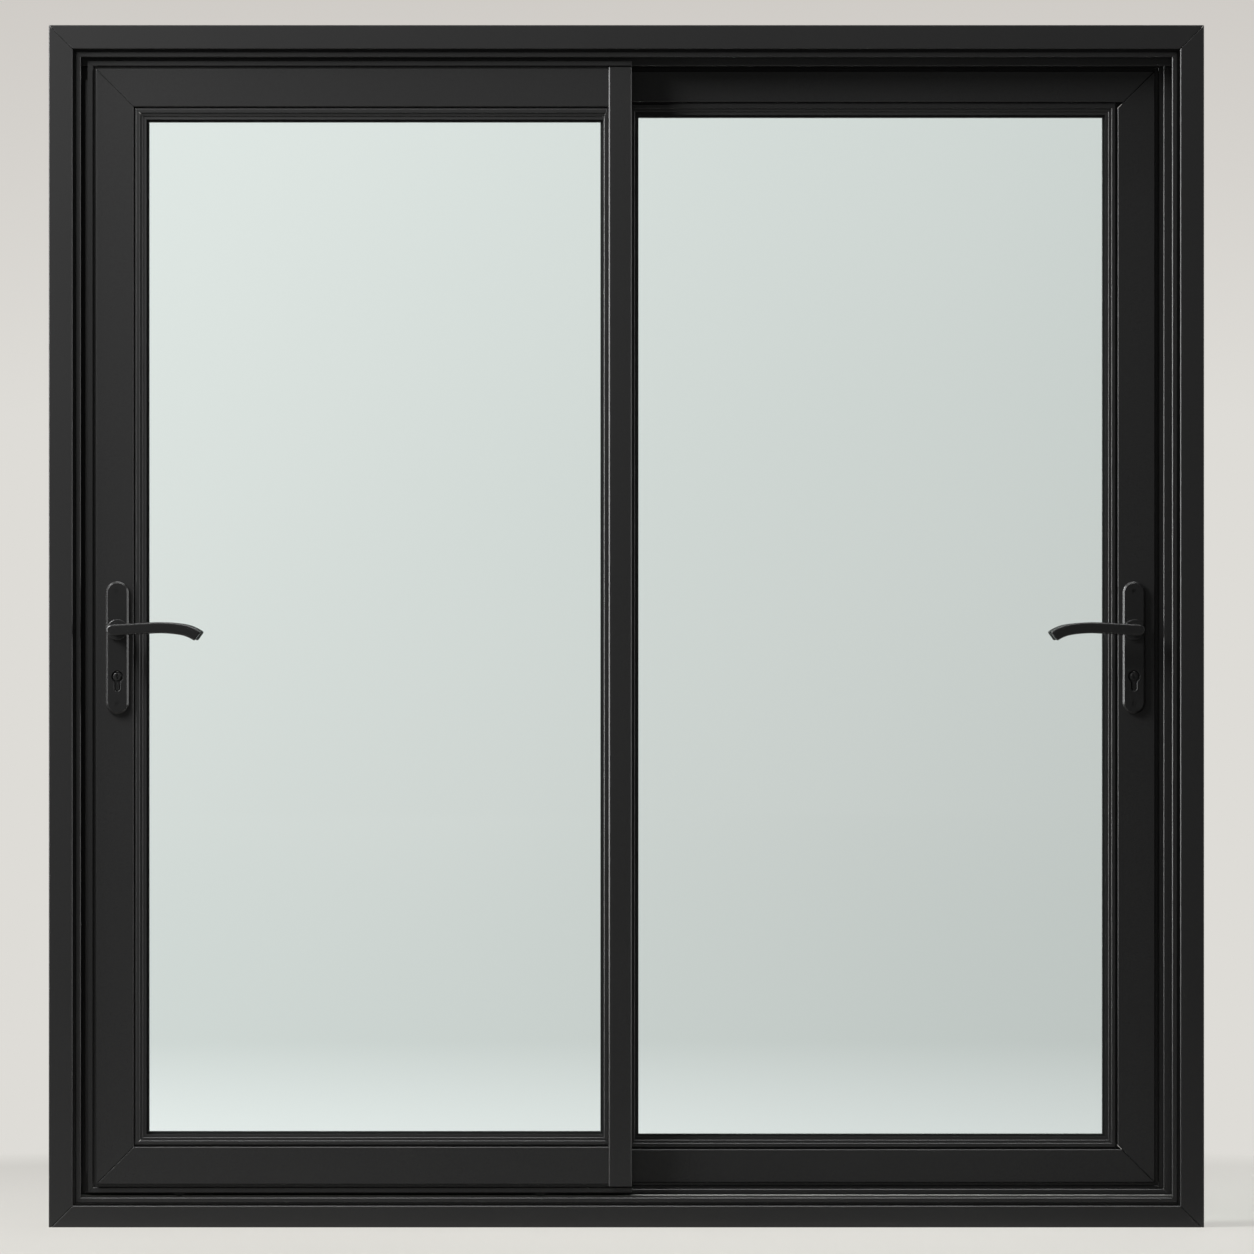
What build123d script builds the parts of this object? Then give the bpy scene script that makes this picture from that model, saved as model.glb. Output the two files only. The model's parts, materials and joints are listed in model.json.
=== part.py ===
"""Two-track double sliding door in powder-coated aluminium, at real size in millimetres.

X runs across the door, Y through its depth with the front at -Y, and Z up.
The origin is the middle of the frame's underside.
"""
import math
import os

from build123d import *

os.makedirs("parts", exist_ok=True)

# Outer frame
frame_width = 2018.0
frame_height = 2100.0
frame_depth = 120.0
flange_face = 41.5
flange_groove = 4.5
flange_groove_depth = 17.0
lip_face = 9.4
lip_set_back = 9.0
lip_thickness = 12.0
track_floor = 36.0
fin_thickness = 4.0
fin_reach = 68.0
sill_base_trim = 4.0
mitre_gap = 0.7
mitre_groove_width = 2.0
frame_edge_bevel = 1.3

# Tracks, guides and keeps
rail_thickness = 5.0
rail_height = 23.6
guide_thickness = 5.0
guide_drop = 34.0
rail_end_gap = 2.0
keep_width = 20.0
keep_height = 240.0
keep_thickness = 3.0
keep_slot_width = 8.0
keep_slot_height = 30.0
keep_slot_pitch = 160.0

# Fixing holes through the jambs
fixing_hole_radius = 5.25
fixing_spacings = [1700.0, 700.0]

# Door panels
panel_thickness = 40.0
panel_side_gap = 5.0
panel_lift = 7.6
panel_head_gap = 5.6
jamb_gap = 11.4
front_panel_past_centre = 9.4
rear_panel_past_centre = 33.8

# Sash section, across from the panel's outer edge
rim_width = 10.0
rim_set_back = 5.5
rim_groove = 5.5
rim_groove_depth = 10.0
stile_face = 65.5
rear_top_rail_face = 55.0
rear_bottom_rail_face = 58.5
sash_edge_bevel = 1.3
bead_edge_bevel = 1.0
bead_outer_bevel = 2.5
bead_gap = 0.3
bead_shadow_gap = 2.2
bead_shadow_depth = 12.0
bead_seat_depth = 21.0
bead_width = 11.0
bead_step_width = 5.5
bead_step_depth = 2.5
bead_set_back = 0.5
bead_leg = 4.0
bead_body = 4.5
bead_leg_end_gap = 1.0
back_leg_start = 8.0
back_leg_width = 9.0
back_leg_thickness = 4.0

# Sealed glass unit
pane_thickness = 4.0
glass_cavity = 16.0
glass_front = 9.0
glass_edge_from_face = 12.5
spacer_width = 14.0
spacer_inset = 0.5
gasket_lap = 4.5
gasket_show = 5.0
back_gasket_width = 8.0

# Interlock stiles at the meeting
interlock_strip = 40.4
interlock_proud = 2.5
interlock_edge_bevel = 2.0
interlock_rebate = 38.0
interlock_strip_thickness = 4.0
interlock_back_leg = 12.0
interlock_bead_width = 8.0
interlock_glass_edge = 40.9
interlock_fin_thickness = 2.0
interlock_fin_reach = 8.0
front_fin_place = 20.4
rear_fin_place = 11.8
rim_over = 11.8
butt_gap = 0.3

# Slots, rollers
slot_width = 16.0
top_slot_depth = 18.0
bottom_slot_depth = 8.0
roller_inset = 160.0
wheel_root_radius = 12.0
wheel_rim_radius = 14.5
wheel_width = 10.0
wheel_groove = 6.4
wheel_bore_gap = 0.1
wheel_rail_gap = 0.3
axle_radius = 3.0
carriage_length = 110.0
carriage_width = 17.0
carriage_height = 34.0
carriage_wall = 3.0
carriage_gap = 0.3
carriage_lift = 1.0

# Handle set, measured from the panel's outer edge and the frame's underside
handle_from_edge = 52.6
spindle_height = 1044.0
plate_width = 40.0
plate_height = 232.0
plate_thickness = 8.0
plate_centre_drop = 31.5
plate_bevel = 3.5
boss_radius = 18.0
boss_height = 5.0
boss_round = 1.5
neck_radius = 10.0
neck_gap = 0.15
neck_seat = 4.0
lever_projection = 55.0
lever_thickness = 12.0
lever_depth = 19.5
lever_edge_round = 4.0
lever_tip_round = 3.0
lever_root_offset = 7.4
lever_root_drop = 0.7
lever_rise = 3.04
lever_straight = 70.0
lever_first_radius = 238.0
lever_first_turn = 12.0
lever_last_radius = 70.0
lever_last_turn = 27.0
spindle_side = 8.0
spindle_socket = 25.0
socket_gap = 0.2
spindle_hole_radius = 8.0
screw_hole_radius = 1.75
screw_head_radius = 3.6
screw_head_depth = 1.8
upper_screw_height = 67.0
lower_screw_drop = 130.0

# Lock cylinder and face plate
cylinder_drop = 82.0
cylinder_radius = 8.5
cylinder_tail_width = 7.0
cylinder_tail_drop = 24.0
cylinder_neck_round = 2.0
cylinder_set_back = 2.0
cylinder_fit = 0.3
cylinder_cutout_gap = 1.6
cutout_bevel = 0.8
plug_radius = 6.5
plug_gap = 0.1
plug_length = 25.0
plug_proud = 2.5
plug_edge_round = 1.0
keyway_width = 2.4
keyway_height = 8.4
keyway_depth = 18.0
faceplate_width = 16.0
faceplate_height = 240.0
faceplate_thickness = 2.5
faceplate_gap = 0.3

# Places worked out from the sizes above
half_width = frame_width / 2
half_depth = frame_depth / 2
lip_start = flange_face + flange_groove
lip_end = lip_start + lip_face
lip_front = -half_depth + lip_set_back
lip_back = lip_front + lip_thickness
track_gap_front = panel_side_gap + fin_thickness / 2
panel_bottom = lip_end - sill_base_trim + panel_lift
panel_top = frame_height - lip_end - panel_head_gap
panel_height = panel_top - panel_bottom
panel_edge = half_width - lip_end - jamb_gap
front_panel_width = panel_edge + front_panel_past_centre
rear_panel_width = panel_edge + rear_panel_past_centre
front_panel_face = -track_gap_front - panel_thickness
rear_panel_face = track_gap_front
track_centre = track_gap_front + panel_thickness / 2
sill_floor = track_floor - sill_base_trim
head_floor = frame_height - track_floor
rail_top = sill_floor + rail_height
face_start = rim_width + rim_groove
bead_back = bead_set_back + bead_body
glass_back = glass_front + 2 * pane_thickness + glass_cavity
member_reach = 120.0

# Rounding shares of a thickness, and working margins that leave no mark on the door
full_round = 0.49
soft_corner = 0.3
keep_corner = 0.2
cut_over = 1.0
near = 0.01
far = 4000.0


def block(x_range, y_range, z_range):
    """A box between two limits on each axis."""
    limits = (x_range, y_range, z_range)
    middle = [(low + high) / 2 for low, high in limits]
    size = [high - low for low, high in limits]
    return Pos(*middle) * Box(*size)


def outline(points):
    """A closed flat shape from corners given as (a, b) or (a, b, bevel)."""
    corners = []
    for index, (a, b, *bevel) in enumerate(points):
        here = Vector(a, b)
        if not bevel:
            corners.append(here)
            continue
        for neighbour in (points[index - 1], points[(index + 1) % len(points)]):
            toward = Vector(neighbour[0], neighbour[1]) - here
            corners.append(here + toward.normalized() * bevel[0])
    return make_face(Polyline(*corners, close=True))


def run(section, origin, inward, along, length):
    """Extrude a section from a member's outer edge: its first axis points inward, its second to the back."""
    plane = Plane(origin=origin, x_dir=inward, z_dir=along)
    return extrude(plane * section, amount=length, dir=along)


def upright_prism(points, y_low, y_high):
    """A prism through the depth from corners given as (x, z)."""
    plane = Plane(origin=(0, y_high, 0), x_dir=(1, 0, 0), z_dir=(0, -1, 0))
    face = make_face(Polyline(*points, close=True))
    return extrude(plane * face, amount=y_high - y_low, dir=(0, -1, 0))


def through_hole(x, z, radius, y_low, y_high):
    """A round bar along the depth, used for holes and pins."""
    return Pos(x, (y_low + y_high) / 2, z) * Rot(90, 0, 0) * Cylinder(radius, y_high - y_low)


def save(shape, node):
    """Write one piece under its own name."""
    export_step(shape, f"parts/{node}.step")


# Frame members


def frame_section():
    """Flange, groove, raised lip and track channel, the same to the front and the back of a middle fin."""
    e = frame_edge_bevel
    groove_y = -half_depth + flange_groove_depth
    front = [
        (0, -half_depth, e),
        (flange_face, -half_depth, e),
        (flange_face, groove_y),
        (lip_start, groove_y),
        (lip_start, lip_front, e),
        (lip_end, lip_front, e),
        (lip_end, lip_back),
        (track_floor, lip_back),
        (track_floor, -fin_thickness / 2),
        (fin_reach, -fin_thickness / 2, e),
    ]
    back = [(point[0], -point[1], *point[2:]) for point in reversed(front)]
    return outline(front + back)


def mitre_grooves(x, low, high, faces):
    """Shallow V grooves along the two mitres that run inward from one side's corners."""
    inward = 1 if x <= 0 else -1
    side = mitre_groove_width / math.sqrt(2)
    length = 2 * math.sqrt(2) * member_reach
    return [Pos(x, y, z) * Rot(0, turn * inward, 0) * Rot(45, 0, 0) * Box(length, side, side)
            for z, turn in ((low, -45), (high, 45)) for y in faces]


def frame_wedge(side):
    """The stretch of one member between its mitres."""
    w, g, reach = half_width, mitre_gap / 2, member_reach
    low, high = -sill_base_trim, frame_height
    if side == "left":
        points = [(-w, low + g), (-w + reach, low + reach + g), (-w + reach, high - reach - g), (-w, high - g)]
    elif side == "right":
        points = [(w, low + g), (w - reach, low + reach + g), (w - reach, high - reach - g), (w, high - g)]
    elif side == "top":
        points = [(-w + g, high), (-w + reach + g, high - reach), (w - reach - g, high - reach), (w - g, high)]
    else:
        points = [(-w + g, low), (-w + reach + g, low + reach), (w - reach - g, low + reach), (w - g, low)]
    return upright_prism(points, -half_depth - cut_over, half_depth + cut_over)


def jamb_holes(side_sign):
    """Fixing holes across both tracks of a jamb."""
    middle = frame_height / 2
    holes = []
    for spacing in fixing_spacings:
        for y in (-track_centre, track_centre):
            for z in (middle - spacing / 2, middle + spacing / 2):
                x = side_sign * (half_width - track_floor / 2)
                holes.append(Pos(x, y, z) * Rot(0, 90, 0) * Cylinder(fixing_hole_radius, track_floor + 2))
    return holes


def make_frame():
    section = frame_section()
    low = -sill_base_trim
    starts = {
        "left": ((-half_width, 0, low), (1, 0, 0), (0, 0, 1), frame_height - low),
        "right": ((half_width, 0, frame_height), (-1, 0, 0), (0, 0, -1), frame_height - low),
        "top": ((-half_width, 0, frame_height), (0, 0, -1), (1, 0, 0), frame_width),
        "bottom": ((half_width, 0, low), (0, 0, 1), (-1, 0, 0), frame_width),
    }
    trim = block((-far, far), (-far, far), (low - cut_over, 0))
    members = {}
    for side, (origin, inward, along, length) in starts.items():
        members[side] = (run(section, origin, inward, along, length) & frame_wedge(side)) - trim
        for x in (-half_width, half_width):
            members[side] -= mitre_grooves(x, low, frame_height, (-half_depth, half_depth))
    save(members["left"] - jamb_holes(-1), "left_jamb")
    save(members["right"] - jamb_holes(1), "right_jamb")
    save(members["top"], "head")
    save(members["bottom"], "sill")


def make_tracks():
    """Round-topped rails on the sill and plain guide blades under the head."""
    end = half_width - track_floor - rail_end_gap
    for name, y in (("front", -track_centre), ("rear", track_centre)):
        rail_y = (y - rail_thickness / 2, y + rail_thickness / 2)
        rail = block((-end, end), rail_y, (sill_floor, rail_top))
        top_edges = rail.edges().filter_by(Axis.X).group_by(Axis.Z)[-1]
        save(fillet(top_edges, rail_thickness * full_round), f"{name}_sill_rail")
        guide_y = (y - guide_thickness / 2, y + guide_thickness / 2)
        guide = block((-end, end), guide_y, (head_floor - guide_drop, head_floor))
        low_edges = guide.edges().filter_by(Axis.X).group_by(Axis.Z)[0]
        save(fillet(low_edges, guide_thickness * soft_corner), f"{name}_head_guide")


def make_keep(side_sign, y, node):
    """Flat strike plate on a jamb's track floor, with two hook slots."""
    floor = half_width - track_floor
    lock_z = spindle_height - plate_centre_drop
    x_range = sorted((side_sign * floor, side_sign * (floor - keep_thickness)))
    y_range = (y - keep_width / 2, y + keep_width / 2)
    keep = block(x_range, y_range, (lock_z - keep_height / 2, lock_z + keep_height / 2))
    keep = fillet(keep.edges().filter_by(Axis.X), keep_width * keep_corner)
    for z in (lock_z - keep_slot_pitch / 2, lock_z + keep_slot_pitch / 2):
        slot_y = (y - keep_slot_width / 2, y + keep_slot_width / 2)
        slot_z = (z - keep_slot_height / 2, z + keep_slot_height / 2)
        keep -= block((x_range[0] - cut_over, x_range[1] + cut_over), slot_y, slot_z)
    save(keep, node)


# Door panels, built with the lock edge at x = 0, the front face at y = 0 and the interlock to the right


def sash_section(face):
    """Rim, groove and flat face on both sides, with a glazing rebate open to the front."""
    e = sash_edge_bevel
    face_end = face_start + face
    back = panel_thickness
    leg_start = face_end + back_leg_start
    return outline([
        (0, rim_set_back, e),
        (rim_width, rim_set_back, e),
        (rim_width, rim_groove_depth),
        (face_start, rim_groove_depth),
        (face_start, 0, e),
        (face_end, 0, e),
        (face_end, bead_seat_depth),
        (leg_start, bead_seat_depth),
        (leg_start, back - back_leg_thickness),
        (leg_start + back_leg_width, back - back_leg_thickness),
        (leg_start + back_leg_width, back, e),
        (face_start, back, e),
        (face_start, back - rim_groove_depth),
        (rim_width, back - rim_groove_depth),
        (rim_width, back - rim_set_back, e),
        (0, back - rim_set_back, e),
    ])


def bead_section(width):
    """Glazing bead with a shadow gap beside the sash face and a lower step beside the glass."""
    e = bead_edge_bevel
    step_back = bead_set_back + bead_step_depth
    seat = bead_seat_depth - bead_leg_end_gap
    return outline([
        (bead_shadow_gap, bead_set_back, bead_outer_bevel),
        (width, bead_set_back, e),
        (width, step_back),
        (width + bead_step_width, step_back, e),
        (width + bead_step_width, bead_back),
        (bead_gap + bead_leg, bead_back),
        (bead_gap + bead_leg, seat),
        (bead_gap, seat),
        (bead_gap, bead_shadow_depth),
        (bead_shadow_gap, bead_shadow_depth),
    ])


def interlock_bead_section():
    """Plain square bead along the interlock."""
    e = bead_edge_bevel
    edge = bead_gap + interlock_bead_width
    front = [(bead_gap, bead_set_back, e), (edge, bead_set_back, e)]
    return outline(front + [(edge, bead_back), (bead_gap, bead_back)])


def interlock_section(proud, fin_place, fin_to_back):
    """Meeting stile: cover strip, shallow rebate and the hooked fin that faces the other panel."""
    e = interlock_edge_bevel
    back = panel_thickness
    fin_start, fin_end = fin_place, fin_place + interlock_fin_thickness
    points = [(0, -proud, e)]
    if not fin_to_back:
        points += [(fin_start, -proud), (fin_start, -interlock_fin_reach)]
        points += [(fin_end, -interlock_fin_reach), (fin_end, -proud)]
    points += [
        (interlock_strip, -proud, e),
        (interlock_strip, interlock_strip_thickness - proud),
        (interlock_rebate, interlock_strip_thickness - proud),
        (interlock_rebate, back - back_leg_thickness),
        (interlock_rebate + interlock_back_leg, back - back_leg_thickness),
        (interlock_rebate + interlock_back_leg, back, e),
    ]
    if fin_to_back:
        points += [(fin_end, back), (fin_end, back + interlock_fin_reach)]
        points += [(fin_start, back + interlock_fin_reach), (fin_start, back)]
    return outline(points + [(0, back, e)])


def ring(x_range, z_range, width, y_range):
    """A flat rectangular ring whose outer edges are given."""
    outer = block(x_range, y_range, z_range)
    hole = block((x_range[0] + width, x_range[1] - width), (y_range[0] - cut_over, y_range[1] + cut_over),
                 (z_range[0] + width, z_range[1] - width))
    return outer - hole


def make_sash(width, top_face, bottom_face, proud, fin_place, fin_to_back):
    """The four sash members, mitred at the lock edge and butted at the interlock."""
    g = mitre_gap / 2
    low, high = panel_bottom, panel_top
    reach = member_reach
    butt = width - interlock_strip - butt_gap
    y_low, y_high = -interlock_fin_reach - cut_over, panel_thickness + interlock_fin_reach + cut_over
    lock_wedge = upright_prism(
        [(0, low + g), (reach, low + reach + g), (reach, high - reach - g), (0, high - g)], y_low, y_high)
    top_wedge = upright_prism(
        [(g, high), (reach + g, high - reach), (butt, high - reach), (butt, high - rim_over),
         (width, high - rim_over), (width, high)], y_low, y_high)
    bottom_wedge = upright_prism(
        [(g, low), (reach + g, low + reach), (butt, low + reach), (butt, low + rim_over),
         (width, low + rim_over), (width, low)], y_low, y_high)
    lock_stile = run(sash_section(stile_face), (0, 0, low), (1, 0, 0), (0, 0, 1), panel_height) & lock_wedge
    top_rail = run(sash_section(top_face), (0, 0, high), (0, 0, -1), (1, 0, 0), width) & top_wedge
    bottom_rail = run(sash_section(bottom_face), (width, 0, low), (0, 0, 1), (-1, 0, 0), width) & bottom_wedge
    grooves = mitre_grooves(0, low, high, (0, panel_thickness))
    lock_stile, top_rail, bottom_rail = lock_stile - grooves, top_rail - grooves, bottom_rail - grooves
    stile_top = high - rim_over - butt_gap
    stile_length = panel_height - 2 * (rim_over + butt_gap)
    section = interlock_section(proud, fin_place, fin_to_back)
    interlock = run(section, (width, 0, stile_top), (-1, 0, 0), (0, 0, -1), stile_length)
    middle = panel_thickness / 2
    slot_y = (middle - slot_width / 2, middle + slot_width / 2)
    top_slot = block((-cut_over, width + cut_over), slot_y, (high - top_slot_depth, high + cut_over))
    bottom_slot = block((-cut_over, width + cut_over), slot_y, (low - cut_over, low + bottom_slot_depth))
    lock_stile = lock_stile - top_slot - bottom_slot
    leg_x = (width - interlock_rebate - interlock_back_leg - cut_over, butt)
    leg_y = (panel_thickness - back_leg_thickness - cut_over, panel_thickness + cut_over)
    rail_reach = face_start + back_leg_start + back_leg_width + butt_gap
    interlock -= block(leg_x, leg_y, (high - top_face - rail_reach, high))
    interlock -= block(leg_x, leg_y, (low, low + bottom_face + rail_reach))
    return lock_stile, interlock - top_slot, top_rail - top_slot, bottom_rail - bottom_slot


def make_beads(width, top_face, bottom_face):
    """Four beads with hairline mitres around the glass."""
    left = face_start + stile_face
    right = width - interlock_strip
    bottom = panel_bottom + face_start + bottom_face
    top = panel_top - face_start - top_face
    g = mitre_gap / 2
    reach = member_reach / 2
    deep = (-cut_over, bead_seat_depth + cut_over)
    height = top - bottom
    length = right - left
    section = bead_section(bead_width)
    left_bead = run(section, (left, 0, bottom), (1, 0, 0), (0, 0, 1), height)
    left_bead &= upright_prism(
        [(left, bottom + g), (left + reach, bottom + reach + g), (left + reach, top - reach - g),
         (left, top - g)], *deep)
    right_bead = run(interlock_bead_section(), (right, 0, top), (-1, 0, 0), (0, 0, -1), height)
    ratio = (bead_width + bead_step_width) / (bead_gap + interlock_bead_width)
    slope = reach * ratio
    right_bead &= upright_prism(
        [(right, bottom + g), (right - reach, bottom + slope + g), (right - reach, top - slope - g),
         (right, top - g)], *deep)
    top_bead = run(section, (left, 0, top), (0, 0, -1), (1, 0, 0), length)
    top_bead &= upright_prism(
        [(left + g, top), (left + reach + g, top - reach), (right - reach / ratio - g, top - reach),
         (right - g, top)], *deep)
    bottom_bead = run(section, (right, 0, bottom), (0, 0, 1), (-1, 0, 0), length)
    bottom_bead &= upright_prism(
        [(left + g, bottom), (left + reach + g, bottom + reach), (right - reach / ratio - g, bottom + reach),
         (right - g, bottom)], *deep)
    return Compound([left_bead, right_bead, top_bead, bottom_bead])


def make_glazing(width, top_face, bottom_face):
    """Two panes, the dark spacer between them, and a gasket ring on each side."""
    left = face_start + stile_face + glass_edge_from_face
    right = width - interlock_glass_edge
    bottom = panel_bottom + face_start + bottom_face + glass_edge_from_face
    top = panel_top - face_start - top_face - glass_edge_from_face
    x_range, z_range = (left, right), (bottom, top)
    front_pane = block(x_range, (glass_front, glass_front + pane_thickness), z_range)
    back_pane = block(x_range, (glass_back - pane_thickness, glass_back), z_range)
    inset_x = (left + spacer_inset, right - spacer_inset)
    inset_z = (bottom + spacer_inset, top - spacer_inset)
    cavity = (glass_front + pane_thickness, glass_back - pane_thickness)
    spacer = ring(inset_x, inset_z, spacer_width - spacer_inset, cavity)
    shown = gasket_lap + gasket_show
    outer_gasket = ring(x_range, z_range, shown, (bead_back, glass_front))
    inner_gasket = ring(x_range, z_range, back_gasket_width, (glass_back, panel_thickness - back_leg_thickness))
    return Compound([front_pane, back_pane]), spacer, Compound([outer_gasket, inner_gasket])


def wheel_places(width):
    return [roller_inset, width - roller_inset]


def wheel_height():
    return rail_top + wheel_rail_gap + wheel_root_radius


def cut_roller_pockets(bottom_rail, width):
    middle = panel_thickness / 2
    half = carriage_width / 2 + carriage_gap
    for x in wheel_places(width):
        reach = carriage_length / 2 + carriage_gap
        pocket = block((x - reach, x + reach), (middle - half, middle + half),
                       (panel_bottom - cut_over, panel_bottom + carriage_height + carriage_gap + carriage_lift))
        bottom_rail -= pocket
    return bottom_rail


def make_rollers(width):
    """Grooved wheels that ride the sill rail, and the forked carriages that hold them."""
    middle = panel_thickness / 2
    z = wheel_height()
    wheels, carriages = [], []
    half = wheel_width / 2
    groove = wheel_groove / 2
    profile = make_face(Polyline(
        (axle_radius + wheel_bore_gap, -half), (wheel_rim_radius, -half), (wheel_rim_radius, -groove),
        (wheel_root_radius, -groove), (wheel_root_radius, groove), (wheel_rim_radius, groove),
        (wheel_rim_radius, half), (axle_radius + wheel_bore_gap, half), close=True))
    wheel = revolve(profile, axis=Axis.Y)
    for x in wheel_places(width):
        wheels.append(Pos(x, middle, z) * wheel)
        x_range = (x - carriage_length / 2, x + carriage_length / 2)
        y_range = (middle - carriage_width / 2, middle + carriage_width / 2)
        low = panel_bottom + carriage_lift
        body = block(x_range, y_range, (low, low + carriage_height))
        inner = block((x_range[0] - cut_over, x_range[1] + cut_over),
                      (y_range[0] + carriage_wall, y_range[1] - carriage_wall),
                      (panel_bottom, low + carriage_height - carriage_wall))
        axle = through_hole(x, z, axle_radius, y_range[0], y_range[1])
        carriages.append((body - inner) + axle)
    return Compound(wheels), Compound(carriages)


# Handle sets, in the same panel coordinates


def euro_profile(grow, y_low, y_high):
    """Round barrel with a straight tail below it, along the depth."""
    z = spindle_height - cylinder_drop
    barrel = through_hole(handle_from_edge, z, cylinder_radius + grow, y_low, y_high)
    half = cylinder_tail_width / 2 + grow
    tail_low = z - cylinder_tail_drop - grow
    tail = block((handle_from_edge - half, handle_from_edge + half), (y_low, y_high), (tail_low, z))
    round_edges = tail.edges().filter_by(Axis.Y).group_by(Axis.Z)[0]
    profile = barrel + fillet(round_edges, 2 * half * full_round)
    low, high = z - cylinder_radius - grow, z - cut_over
    neck_edges = profile.edges().filter_by(Axis.Y).filter_by_position(Axis.Z, low, high)
    return fillet(neck_edges, cylinder_neck_round)


def make_plate():
    """Front backplate with its boss, screw holes and cylinder cut-out."""
    centre_z = spindle_height - plate_centre_drop
    plane = Plane(origin=(handle_from_edge, 0, centre_z), x_dir=(1, 0, 0), z_dir=(0, -1, 0))
    shape = SlotOverall(plate_height, plate_width, rotation=90)
    plate = extrude(plane * shape, amount=plate_thickness, dir=(0, -1, 0))
    plate = chamfer(plate.faces().sort_by(Axis.Y)[0].edges(), plate_bevel)
    boss_front = -plate_thickness - boss_height
    boss = through_hole(handle_from_edge, spindle_height, boss_radius, boss_front, -plate_thickness / 2)
    boss = fillet(boss.faces().sort_by(Axis.Y)[0].edges(), boss_round)
    plate = plate + boss
    seat_front = boss_front + neck_seat
    ahead = boss_front - cut_over
    plate -= through_hole(handle_from_edge, spindle_height, neck_radius + neck_gap, ahead, seat_front)
    plate -= through_hole(handle_from_edge, spindle_height, spindle_hole_radius, ahead, cut_over)
    for z in (spindle_height + upper_screw_height, spindle_height - lower_screw_drop):
        plate -= through_hole(handle_from_edge, z, screw_hole_radius, -plate_thickness - cut_over, cut_over)
        head_y = (-plate_thickness - cut_over, -plate_thickness + screw_head_depth)
        plate -= through_hole(handle_from_edge, z, screw_head_radius, *head_y)
    plate -= euro_profile(cylinder_cutout_gap, -plate_thickness - boss_height, cut_over)
    z = spindle_height - cylinder_drop
    low, high = z - cylinder_tail_drop - 2 * cylinder_cutout_gap, z + cylinder_radius + 2 * cylinder_cutout_gap
    face_edges = plate.edges().filter_by_position(Axis.Y, -plate_thickness - near, -plate_thickness + near)
    return chamfer(face_edges.filter_by_position(Axis.Z, low, high), cutout_bevel)


def make_lever():
    """Arched bar with a half-round root and a square-cut tip, on a round neck."""
    y_front = -lever_projection
    y_mid = y_front + lever_thickness / 2
    start = Vector(-lever_root_offset, -lever_root_drop)
    rise = math.radians(lever_rise)
    straight = Line(start, start + Vector(math.cos(rise), math.sin(rise)) * lever_straight)
    first = JernArc(straight @ 1, straight % 1, lever_first_radius, -lever_first_turn)
    last = JernArc(first @ 1, first % 1, lever_last_radius, -lever_last_turn)
    plane = Plane(origin=(handle_from_edge, y_mid, spindle_height), x_dir=(1, 0, 0), z_dir=(0, -1, 0))
    path = plane * (straight + first + last)
    across = Plane(origin=path @ 0, x_dir=(0, 1, 0), z_dir=path % 0)
    section = RectangleRounded(lever_thickness, lever_depth, lever_edge_round)
    bar = sweep(across * section, path=path)
    bar = fillet(bar.faces().sort_by_distance(path @ 1)[0].edges(), lever_tip_round)
    upper_half = section & Pos(0, lever_depth / 2) * Rectangle(lever_thickness, lever_depth)
    root = revolve(across * upper_half, axis=Axis(path @ 0, (0, -1, 0)), revolution_arc=180)
    neck_back = -plate_thickness - boss_height + neck_seat - 2 * neck_gap
    neck = through_hole(handle_from_edge, spindle_height, neck_radius, y_mid, neck_back)
    lever = bar + root + neck
    half = spindle_side / 2 + socket_gap
    socket = block((handle_from_edge - half, handle_from_edge + half),
                   (neck_back - spindle_socket, neck_back + cut_over),
                   (spindle_height - half, spindle_height + half))
    return lever - socket


def make_spindle():
    """Square bar that joins the two levers through the stile."""
    neck_back = -plate_thickness - boss_height + neck_seat - 2 * neck_gap
    front = neck_back - spindle_socket + 2 * socket_gap
    back = panel_thickness - front
    half = spindle_side / 2
    return block((handle_from_edge - half, handle_from_edge + half), (front, back),
                 (spindle_height - half, spindle_height + half))


def plug_solid(y_front, y_back, grow):
    z = spindle_height - cylinder_drop
    return through_hole(handle_from_edge, z, plug_radius + grow, y_front, y_back)


def keyway(y_front, y_back):
    z = spindle_height - cylinder_drop
    x = handle_from_edge
    return block((x - keyway_width / 2, x + keyway_width / 2), (y_front, y_back),
                 (z - keyway_height / 2, z + keyway_height / 2))


def make_cylinder():
    """Lock cylinder through the stile: a bore for the turning plug in front, a fixed plug behind."""
    front = cylinder_set_back - plate_thickness
    back = panel_thickness - front
    body = euro_profile(0, front, back)
    body -= plug_solid(front - cut_over, front + plug_length, plug_gap)
    plug_front = front - plug_proud
    plug = plug_solid(plug_front, front + plug_length - 3 * plug_gap, 0)
    plug = fillet(plug.faces().sort_by(Axis.Y)[0].edges(), plug_edge_round)
    plug -= keyway(plug_front - cut_over, plug_front + keyway_depth)
    rear_face = back - keyway_depth
    body -= keyway(rear_face, back + cut_over)
    return body, plug


def make_faceplate():
    """Lock face plate let into the edge of the lock stile."""
    centre_z = spindle_height - plate_centre_drop
    middle = panel_thickness / 2
    y_range = (middle - faceplate_width / 2, middle + faceplate_width / 2)
    z_range = (centre_z - faceplate_height / 2, centre_z + faceplate_height / 2)
    plate = block((faceplate_gap, faceplate_gap + faceplate_thickness), y_range, z_range)
    plate = fillet(plate.edges().filter_by(Axis.X), faceplate_width * soft_corner)
    g = faceplate_gap
    pocket_y = (y_range[0] - g, y_range[1] + g)
    pocket_z = (z_range[0] - g, z_range[1] + g)
    pocket = block((-cut_over, faceplate_thickness + 2 * g), pocket_y, pocket_z)
    return plate, pocket


def mirrored_back(shape):
    """The same piece on the panel's inner face."""
    return mirror(shape, about=Plane(origin=(0, panel_thickness / 2, 0), z_dir=(0, 1, 0)))


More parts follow.
